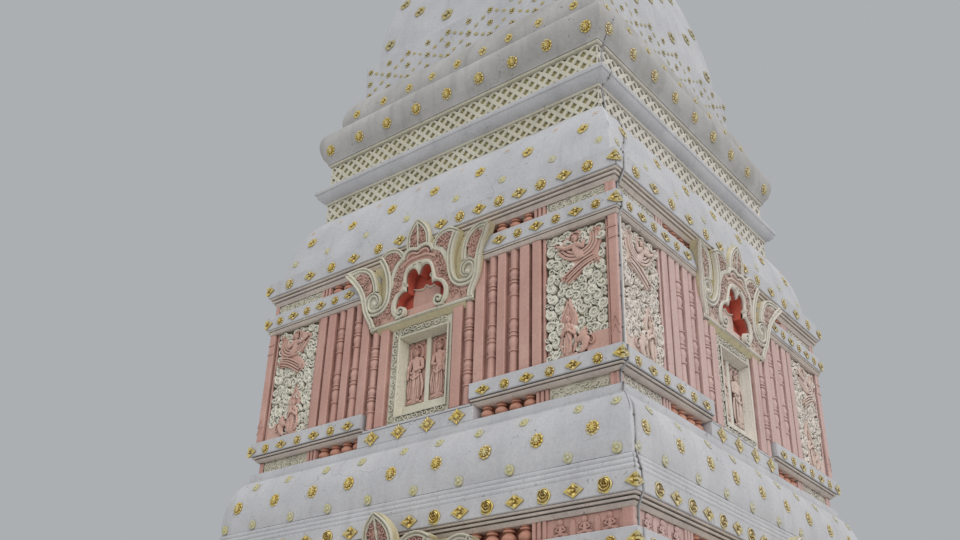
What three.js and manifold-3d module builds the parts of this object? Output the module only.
// Square two-storey stupa of brick and stucco: plinth, two storeys with a false doorway
// under a pediment on each side, convex roofs, lattice bands, lotus base, four-sided
// spire and gilt umbrella finial. Millimetres, +Z up, origin on the axis at ground level.
// "Out" is the distance of a face from the axis, "across" runs sideways along a face.

import * as THREE from 'three';
import { mergeVertices } from 'three/addons/utils/BufferGeometryUtils.js';
import Module from 'manifold-3d';

const wasm = await Module();
wasm.setup();

// Driving dimensions of the whole
const PLINTH_HALF = 4185;
const TOTAL_HEIGHT = 35000;
const GAP = 0.3;

// Driving dimensions of each storey: heights from the ground, half-widths from the axis
const UPPER = {
  name: 'upper',
  face: 3790,
  foot: 6950,
  dadoTop: 7180,
  slabTop: 7240,
  sillTop: 7530,
  doorTop: 8980,
  bodyTop: 9650,
  lowBandTop: 10030,
  friezeTop: 10250,
  topBandFoot: 10430,
  topBandTop: 10760,
  top: 10860,
  topOut: -70,
  across: 1,
  gableAcross: 1,
  gableRise: 1,
  lean: 0.12,
};
const LOWER = {
  name: 'lower',
  face: 4000,
  foot: 950,
  dadoTop: 1210,
  slabTop: 1280,
  sillTop: 1600,
  doorTop: 3950,
  bodyTop: 4530,
  lowBandTop: 4930,
  friezeTop: 5200,
  topBandFoot: 5360,
  topBandTop: 5640,
  top: 5870,
  topOut: 50,
  across: 1.055,
  gableAcross: 1.11,
  gableRise: 0.9,
  lean: 0.32,
};

// How far each layer of a storey stands out from the outer face of its strips
const CORE_BACK = -130;
const BACKING = -90;
const PANEL = -50;
const DADO = -90;
const FRIEZE = -30;
const LOW_BAND = 60;
const TOP_BAND = 100;
const SILL_BAND = 50;
const DOOR_CASE = -70;
const DOOR_LEAF = -270;
const DOOR_RAIL = -170;
const DOOR_MULLION = -210;
const BAY_STRIP = -15;
const TREAD = 10;
const PEDIMENT_BACK = 10;
const PEDIMENT_FRONT = 25;
const PEDIMENT_THICKNESS = 165;
const POCKET = -390;
const NICHE_BACK = -250;
const SILL_SLAB_BACK = -600;

// Small overlaps that let solids join, and reaches that let cutters pass through
const OVERLAP = 1;
const CUT = 200;

// Heights of the mouldings under the sill band and the low band
const SILL_MOULDING = 70;
const LOW_MOULDING = 100;

// Places across a face, measured from its middle on the upper storey
const BAY_HALF = 1140;
const PANEL_START = 2470;
const PANEL_END = 3600;
const FLATS = [[1160, 1340], [1600, 1760], [2030, 2210], [2270, 2430]];
const COLONNETTES = [1480, 1895];
const COLONNETTE_RADIUS = 85;
const COLONNETTE_SIDES = 8;
const BAY_FLAT = [700, 890];
const BAY_COLONNETTE = 1020;
const CASE_HALF = 645;
const LEAF_HALF = 450;
const MULLION_HALF = 55;
const PILASTER_WIDTH = 170;
const COLONNETTE_INSET = 75;
const SILL_SLAB_OVERHANG = 60;

// Block at the back of a pediment that is housed in the low band and the frieze
const TONGUE_HALF = 560;
const TONGUE_TOP = 920;
const TONGUE_DEPTH = 50;

// Levels of a doorway, as parts of its height
const CASE_FOOT = 0.01;
const CASE_HEAD = 0.97;
const RECESS_FOOT = 0.08;
const RECESS_HEAD = 0.87;
const RAIL_TOP = 0.19;

// Heights of the members above the upper storey
const UPPER_ROOF_TOP = 12215;
const LATTICE_LOW_TOP = 12620;
const LEDGE_TOP = 12950;
const LATTICE_HIGH_TOP = 13560;
const LOTUS_TOP = 15430;
const SPIRE_TOP = 31000;
const FINIAL_SIDES = 12;
const LATTICE_HALF = 3235;

const WHITE = new THREE.MeshStandardMaterial({ color: 0xb9b9c2, roughness: 0.85, metalness: 0 });
const PINK = new THREE.MeshStandardMaterial({ color: 0xb7827d, roughness: 0.85, metalness: 0 });
const CREAM = new THREE.MeshStandardMaterial({ color: 0xc4bfa8, roughness: 0.85, metalness: 0 });
const GOLD = new THREE.MeshStandardMaterial({ color: 0xc9a548, roughness: 0.4, metalness: 0.8 });

const stupa = new THREE.Group();
const SIDES = ['south', 'east', 'north', 'west'];
const CORNERS = ['south_east', 'north_east', 'north_west', 'south_west'];

// Closed surface made into a solid that can be joined and cut, and the other way round
function toSolid(geometry) {
  const bare = geometry.clone();
  bare.deleteAttribute('normal');
  bare.deleteAttribute('uv');
  const merged = mergeVertices(bare, 0.01);
  const corners = [];
  for (let i = 0; i < merged.index.count; i += 3) {
    const [a, b, c] = [merged.index.getX(i), merged.index.getX(i + 1), merged.index.getX(i + 2)];
    if (a !== b && b !== c && a !== c) corners.push(a, b, c);
  }
  const mesh = new wasm.Mesh({
    numProp: 3,
    vertProperties: new Float32Array(merged.attributes.position.array),
    triVerts: new Uint32Array(corners),
  });
  return new wasm.Manifold(mesh);
}

function toGeometry(solid) {
  const mesh = solid.getMesh();
  const geometry = new THREE.BufferGeometry();
  geometry.setAttribute('position', new THREE.BufferAttribute(new Float32Array(mesh.vertProperties), 3));
  geometry.setIndex(new THREE.BufferAttribute(new Uint32Array(mesh.triVerts), 1));
  geometry.computeVertexNormals();
  return geometry;
}

function joined(solids) {
  return solids.reduce((whole, piece) => whole.add(piece));
}

// A solid goes in the group on its own, or turned to one of the four sides or corners
function place(name, solid, material, quarterTurns = 0) {
  const mesh = new THREE.Mesh(toGeometry(solid), material);
  mesh.name = name;
  mesh.rotation.z = quarterTurns * Math.PI / 2;
  stupa.add(mesh);
}

// Square mass with one half-width and height for each level, lowest first
function squareMass(levels) {
  const [firstZ, lastZ] = [levels[0][1], levels[levels.length - 1][1]];
  const points = [new THREE.Vector2(0, firstZ)];
  for (const [half, z] of levels) points.push(new THREE.Vector2(half * Math.SQRT2, z));
  points.push(new THREE.Vector2(0, lastZ));
  const geometry = new THREE.LatheGeometry(points, 4, Math.PI / 4);
  geometry.rotateX(Math.PI / 2);
  return toSolid(geometry);
}

function turned(points, sides) {
  const profile = points.map(([radius, z]) => new THREE.Vector2(radius, z));
  const geometry = new THREE.LatheGeometry(profile, sides, Math.PI / sides);
  geometry.rotateX(Math.PI / 2);
  return toSolid(geometry);
}

// Block on the south side, given by its limits across, outwards and upwards
function block(acrossFrom, acrossTo, outFrom, outTo, zFrom, zTo) {
  const geometry = new THREE.BoxGeometry(acrossTo - acrossFrom, outTo - outFrom, zTo - zFrom);
  geometry.translate((acrossFrom + acrossTo) / 2, -(outFrom + outTo) / 2, (zFrom + zTo) / 2);
  return toSolid(geometry);
}

// The same block on all four sides
function onFourSides(solid) {
  return joined([0, 90, 180, 270].map((angle) => solid.rotate([0, 0, angle])));
}

// Outline drawn on the south side in (across, z), made solid from one distance out to another
function raised(outline, outFrom, outTo) {
  const shape = new THREE.Shape(outline.map(([across, z]) => new THREE.Vector2(across, z)));
  const geometry = new THREE.ExtrudeGeometry(shape, { depth: outTo - outFrom, bevelEnabled: false });
  geometry.rotateX(Math.PI / 2);
  geometry.translate(0, -outFrom, 0);
  return geometry;
}

function mirrored(halfOutline) {
  const otherSide = halfOutline.filter(([across]) => across > 0).map(([across, z]) => [-across, z]);
  return [...halfOutline, ...otherSide.reverse()];
}

// Slender engaged column with ring mouldings, standing between two heights
function colonnette(across, s, zFrom, zTo) {
  const radius = COLONNETTE_RADIUS;
  const neck = radius * 0.8;
  const level = (part) => zFrom + part * (zTo - zFrom);
  const profile = [
    [0, zFrom], [radius, zFrom], [radius, level(0.22)], [neck, level(0.28)], [neck, level(0.66)],
    [radius, level(0.74)], [neck, level(0.82)], [radius, level(0.9)], [radius, zTo], [0, zTo],
  ];
  return turned(profile, COLONNETTE_SIDES).translate([across, -(s.face - COLONNETTE_INSET), 0]);
}

// Cornice members
function cornicePieces(s) {
  const lowFoot = s.bodyTop + LOW_MOULDING;
  const lowBand = [
    [s.face, s.bodyTop], [s.face + 20, s.bodyTop + 30], [s.face + 20, s.bodyTop + 60],
    [s.face + LOW_BAND, lowFoot], [s.face + LOW_BAND, s.lowBandTop],
  ];
  const rise = s.topBandFoot - s.friezeTop;
  const topBand = [
    [s.face + FRIEZE, s.friezeTop], [s.face + 10, s.friezeTop + 0.2 * rise],
    [s.face + 10, s.friezeTop + 0.4 * rise], [s.face + 40, s.friezeTop + 0.5 * rise],
    [s.face + 40, s.friezeTop + 0.8 * rise], [s.face + TOP_BAND, s.topBandFoot],
    [s.face + TOP_BAND, s.topBandTop], [s.face + s.topOut, s.top],
  ];
  return { lowBand, topBand };
}

// Everything of the cornice, grown by the working gap, for fitting a pediment over it
function corniceCutter(s) {
  const { lowBand, topBand } = cornicePieces(s);
  const grow = (levels) => levels.map(([half, z]) => [half + GAP, z]);
  const frieze = [[s.face + FRIEZE, s.lowBandTop], [s.face + FRIEZE, s.friezeTop]];
  const roof = [[s.face + s.topOut, s.top], [s.face + s.topOut, s.top + 5 * CUT]];
  return joined([squareMass(grow(lowBand)), squareMass(grow(frieze)), squareMass(grow(topBand)),
    squareMass(grow(roof))]);
}

// Pediment outline on the upper storey, measured from the middle of its foot
const PEDIMENT_HALF = [
  [0, 1830], [100, 1760], [190, 1640], [245, 1510], [260, 1380], [250, 1220],
  [340, 1230], [385, 1310], [460, 1390], [600, 1430], [750, 1420], [890, 1330],
  [780, 1160], [725, 960], [715, 790], [730, 610], [790, 480], [870, 450], [935, 500],
  [945, 640], [950, 840], [995, 1020], [1070, 1150], [1180, 1235], [1320, 1270], [1460, 1250],
  [1610, 1180], [1490, 1050], [1395, 900], [1335, 760], [1305, 620], [1285, 490], [1240, 340],
  [1130, 140], [1130, 0],
];
const HORN_START = 1200;
const HORN_END = 1610;
const HORN_FLARE = 120;

// Niche outline with two tall upper lobes and a low lobe on each side, from the same point
const NICHE_HALF = [
  [0, 765], [50, 860], [130, 905], [205, 865], [245, 750], [250, 620], [255, 530],
  [310, 540], [390, 520], [475, 455], [515, 340], [485, 220], [430, 130], [390, 70],
];

// Front of a pediment leans out from its foot, and its horns flare out further. Its back
// follows once it is as thick as it gets
function leaning(geometry, s, halfway) {
  const position = geometry.attributes.position;
  for (let i = 0; i < position.count; i += 1) {
    const rise = position.getZ(i) - s.doorTop;
    const across = Math.abs(position.getX(i)) / s.gableAcross;
    const flare = Math.max(0, (across - HORN_START) / (HORN_END - HORN_START));
    const forwards = rise * s.lean + HORN_FLARE * flare ** 2;
    const inFront = position.getY(i) < halfway;
    const shift = inFront ? forwards : Math.max(0, forwards - PEDIMENT_THICKNESS);
    position.setY(i, position.getY(i) - shift);
  }
  return geometry;
}

function tongueBlock(s, clearance, outFrom, outTo, zFrom) {
  const half = TONGUE_HALF * s.gableAcross - clearance;
  const top = s.doorTop + TONGUE_TOP * s.gableRise - clearance;
  return block(-half, half, outFrom, outTo, zFrom, top);
}

function pediment(s) {
  const at = (points) => points.map(([across, z]) => [across * s.gableAcross, z * s.gableRise + s.doorTop]);
  const back = s.face + PEDIMENT_BACK + GAP;
  const front = s.face + PEDIMENT_FRONT;
  const flat = raised(at(mirrored(PEDIMENT_HALF)), back, front);
  const slab = toSolid(leaning(flat, s, -(back + front) / 2));
  const bay = BAY_HALF * s.across - GAP;
  const pocketBack = s.face + POCKET;
  const tenon = block(-bay, bay, pocketBack + GAP, back + OVERLAP, s.doorTop, s.bodyTop - GAP);
  const tongueFoot = s.bodyTop - TONGUE_DEPTH;
  const tongueFront = front + (tongueFoot - s.doorTop) * s.lean - OVERLAP;
  const tongue = tongueBlock(s, GAP, pocketBack + GAP, tongueFront, tongueFoot);
  const pocket = tongueBlock(s, 0, pocketBack, s.face + CUT, tongueFoot);
  const niche = toSolid(raised(at(mirrored(NICHE_HALF)), s.face + NICHE_BACK, s.face + 3 * CUT));
  const slabOnCornice = slab.subtract(corniceCutter(s).subtract(pocket));
  return joined([slabOnCornice, tenon, tongue]).subtract(niche);
}

function doorway(s) {
  const k = s.across;
  const height = s.doorTop - s.slabTop;
  const bay = BAY_HALF * k - GAP;
  const leaf = LEAF_HALF * k;
  const level = (part) => s.slabTop + part * height;
  const [zFrom, zTo] = [s.slabTop, s.doorTop - GAP];
  const [backing, board] = [s.face + BACKING - OVERLAP, s.face + DOOR_LEAF - OVERLAP];
  const wall = block(-bay, bay, s.face + POCKET + GAP, s.face + BACKING, zFrom, zTo);
  const casing = block(-CASE_HALF * k, CASE_HALF * k, backing, s.face + DOOR_CASE,
    level(CASE_FOOT), level(CASE_HEAD));
  const recess = block(-leaf, leaf, s.face + DOOR_LEAF, s.face, level(RECESS_FOOT), level(RECESS_HEAD));
  const bottomRail = block(-leaf - OVERLAP, leaf + OVERLAP, board, s.face + DOOR_RAIL,
    level(RECESS_FOOT) - OVERLAP, level(RAIL_TOP));
  const mullion = block(-MULLION_HALF * k, MULLION_HALF * k, board, s.face + DOOR_MULLION,
    level(RAIL_TOP) - OVERLAP, level(RECESS_HEAD) + OVERLAP);
  const strips = [];
  for (const side of [-1, 1]) {
    const [from, to] = BAY_FLAT.map((across) => side * across * k).sort((a, b) => a - b);
    strips.push(block(from, to, backing, s.face + BAY_STRIP, zFrom, zTo));
    strips.push(colonnette(side * BAY_COLONNETTE * k, s, zFrom, zTo));
  }
  return joined([wall, casing, ...strips]).subtract(recess).add(bottomRail).add(mullion);
}

// Corner of a storey: pilaster, two relief panels and two banks of flat strips and colonnettes
function cornerPiece(s) {
  const k = s.across;
  const [zFrom, zTo] = [s.sillTop, s.bodyTop];
  const inner = s.face + CORE_BACK + GAP;
  const backing = s.face + BACKING;
  const bay = BAY_HALF * k;
  const end = s.face - PILASTER_WIDTH;
  const panelEnd = Math.min(PANEL_END * k, end + OVERLAP);
  const southArm = [
    block(bay, inner + OVERLAP, inner, backing, zFrom, zTo),
    block(PANEL_START * k, panelEnd, backing - OVERLAP, s.face + PANEL, zFrom, zTo),
    ...FLATS.map(([from, to]) => block(from * k, to * k, backing - OVERLAP, s.face, zFrom, zTo)),
    ...COLONNETTES.map((across) => colonnette(across * k, s, zFrom, zTo)),
  ];
  const south = joined(southArm);
  const east = south.mirror([1, 1, 0]);
  const pilaster = block(end, s.face, end, s.face, zFrom, zTo);
  const heel = block(inner, backing, inner, backing, zFrom, zTo);
  const inside = squareMass([[inner, zFrom - CUT], [inner, zTo + CUT]]);
  return joined([south, east, heel, pilaster]).subtract(inside);
}

function addStorey(s) {
  const bay = BAY_HALF * s.across;
  const slabHalf = bay + SILL_SLAB_OVERHANG;
  const sillSlab = block(-slabHalf, slabHalf, s.face + SILL_SLAB_BACK, s.face + TREAD, s.foot, s.dadoTop);
  const dado = squareMass([[s.face + DADO, s.foot], [s.face + DADO, s.dadoTop]]);
  const tread = block(-bay + GAP, bay - GAP, s.face + POCKET + GAP, s.face + TREAD,
    s.dadoTop - OVERLAP, s.slabTop);
  place(`${s.name}_dado`, joined([dado, onFourSides(sillSlab), onFourSides(tread)]), CREAM);

  const bandFoot = s.dadoTop + SILL_MOULDING;
  const sill = squareMass([
    [s.face - 60, s.dadoTop], [s.face - 50, s.dadoTop + 20], [s.face, s.dadoTop + 40],
    [s.face + SILL_BAND, bandFoot], [s.face + SILL_BAND, s.sillTop],
  ]);
  const bayNotch = block(-bay, bay, s.face + POCKET, s.face + CUT, s.dadoTop - CUT, s.sillTop + CUT);
  place(`${s.name}_sill_band`, sill.subtract(onFourSides(bayNotch)), WHITE);

  const core = squareMass([[s.face + CORE_BACK, s.sillTop], [s.face + CORE_BACK, s.bodyTop]]);
  const bayPocket = block(-bay, bay, s.face + POCKET, s.face, s.sillTop - CUT, s.bodyTop + CUT);
  place(`${s.name}_core`, core.subtract(onFourSides(bayPocket)), PINK);

  const corner = cornerPiece(s);
  CORNERS.forEach((name, turns) => place(`${s.name}_corner_${name}`, corner, PINK, turns));
  const door = doorway(s);
  SIDES.forEach((name, turns) => place(`${s.name}_doorway_${name}`, door, PINK, turns));
  const gable = pediment(s);
  SIDES.forEach((name, turns) => place(`${s.name}_pediment_${name}`, gable, CREAM, turns));

  const { lowBand, topBand } = cornicePieces(s);
  const slots = onFourSides(tongueBlock(s, 0, s.face + POCKET, s.face + CUT, s.bodyTop - CUT));
  place(`${s.name}_cornice_low_band`, squareMass(lowBand).subtract(slots), WHITE);
  const frieze = squareMass([[s.face + FRIEZE, s.lowBandTop], [s.face + FRIEZE, s.friezeTop]]);
  place(`${s.name}_frieze`, frieze.subtract(slots), CREAM);
  place(`${s.name}_cornice_top_band`, squareMass(topBand), WHITE);
}

// Plinth
place('plinth', squareMass([
  [PLINTH_HALF, 0], [PLINTH_HALF, 320], [PLINTH_HALF - 55, 320], [PLINTH_HALF - 55, 400],
  [PLINTH_HALF - 60, 540], [PLINTH_HALF - 85, 680], [PLINTH_HALF - 135, 790], [PLINTH_HALF - 200, 850],
  [PLINTH_HALF - 200, LOWER.foot],
]), WHITE);

addStorey(LOWER);

place('lower_roof', squareMass([
  [4050, LOWER.top], [4060, 6000], [4060, 6150], [4035, 6380], [3980, 6570], [3900, 6720], [3840, 6780],
  [3840, 6810], [3800, 6810], [3800, UPPER.foot],
]), WHITE);

addStorey(UPPER);

place('upper_roof', squareMass([
  [3720, UPPER.top], [3700, 11000], [3660, 11270], [3600, 11560], [3510, 11800], [3400, 12010],
  [3300, 12140], [LATTICE_HALF, UPPER_ROOF_TOP],
]), WHITE);
place('lattice_band_low', squareMass([
  [LATTICE_HALF, UPPER_ROOF_TOP], [LATTICE_HALF, LATTICE_LOW_TOP],
]), CREAM);
place('ledge', squareMass([
  [3265, LATTICE_LOW_TOP], [3265, 12675], [3330, 12700], [3390, 12760], [3430, 12850], [3250, LEDGE_TOP],
]), WHITE);
place('lattice_band_high', squareMass([
  [LATTICE_HALF, LEDGE_TOP], [LATTICE_HALF, LATTICE_HIGH_TOP],
]), CREAM);
place('lotus_base', squareMass([
  [3290, LATTICE_HIGH_TOP], [3290, 13620], [3390, 13760], [3450, 13950], [3465, 14120], [3420, 14290],
  [3300, 14430], [3120, 14510], [3165, 14660], [3165, 14820], [3120, 15010], [3030, 15220], [2920, 15370],
  [2860, LOTUS_TOP],
]), WHITE);

// Spire: base course, then a swelling four-sided taper
const SPIRE_LEVELS = [
  [2850, LOTUS_TOP], [2875, 16260], [2720, 16400], [2690, 16800], [2620, 17400], [2500, 18050],
  [2340, 18750], [2180, 19300], [1960, 20000], [1710, 20800], [1450, 21700], [1220, 22650],
  [1040, 23600], [900, 24600], [960, 24660], [960, 24800], [860, 24860], [760, 26000],
  [640, 27600], [520, 29300], [420, SPIRE_TOP],
];
place('spire', squareMass(SPIRE_LEVELS), WHITE);

// Finial: lotus bud, ringed stem and tiers of an umbrella that narrow upwards
const UMBRELLA_FOOT = 32600;
const UMBRELLA_TIERS = 5;
const TIER_RISE = 330;
const finialProfile = [
  [0, SPIRE_TOP], [400, SPIRE_TOP], [470, 31060], [400, 31130], [260, 31200], [330, 31330], [390, 31520],
  [330, 31740], [180, 31930], [230, 31990], [180, 32050], [90, 32150],
];
for (let tier = 0; tier < UMBRELLA_TIERS; tier += 1) {
  const radius = 440 - tier * 75;
  const foot = UMBRELLA_FOOT + tier * TIER_RISE;
  finialProfile.push([45, foot + 20], [radius, foot], [radius * 0.95, foot + 60], [60, foot + 170]);
}
finialProfile.push([45, 34350], [60, 34420], [40, 34560], [0, TOTAL_HEIGHT]);
place('finial', turned(finialProfile, FINIAL_SIDES), GOLD);

export default stupa;
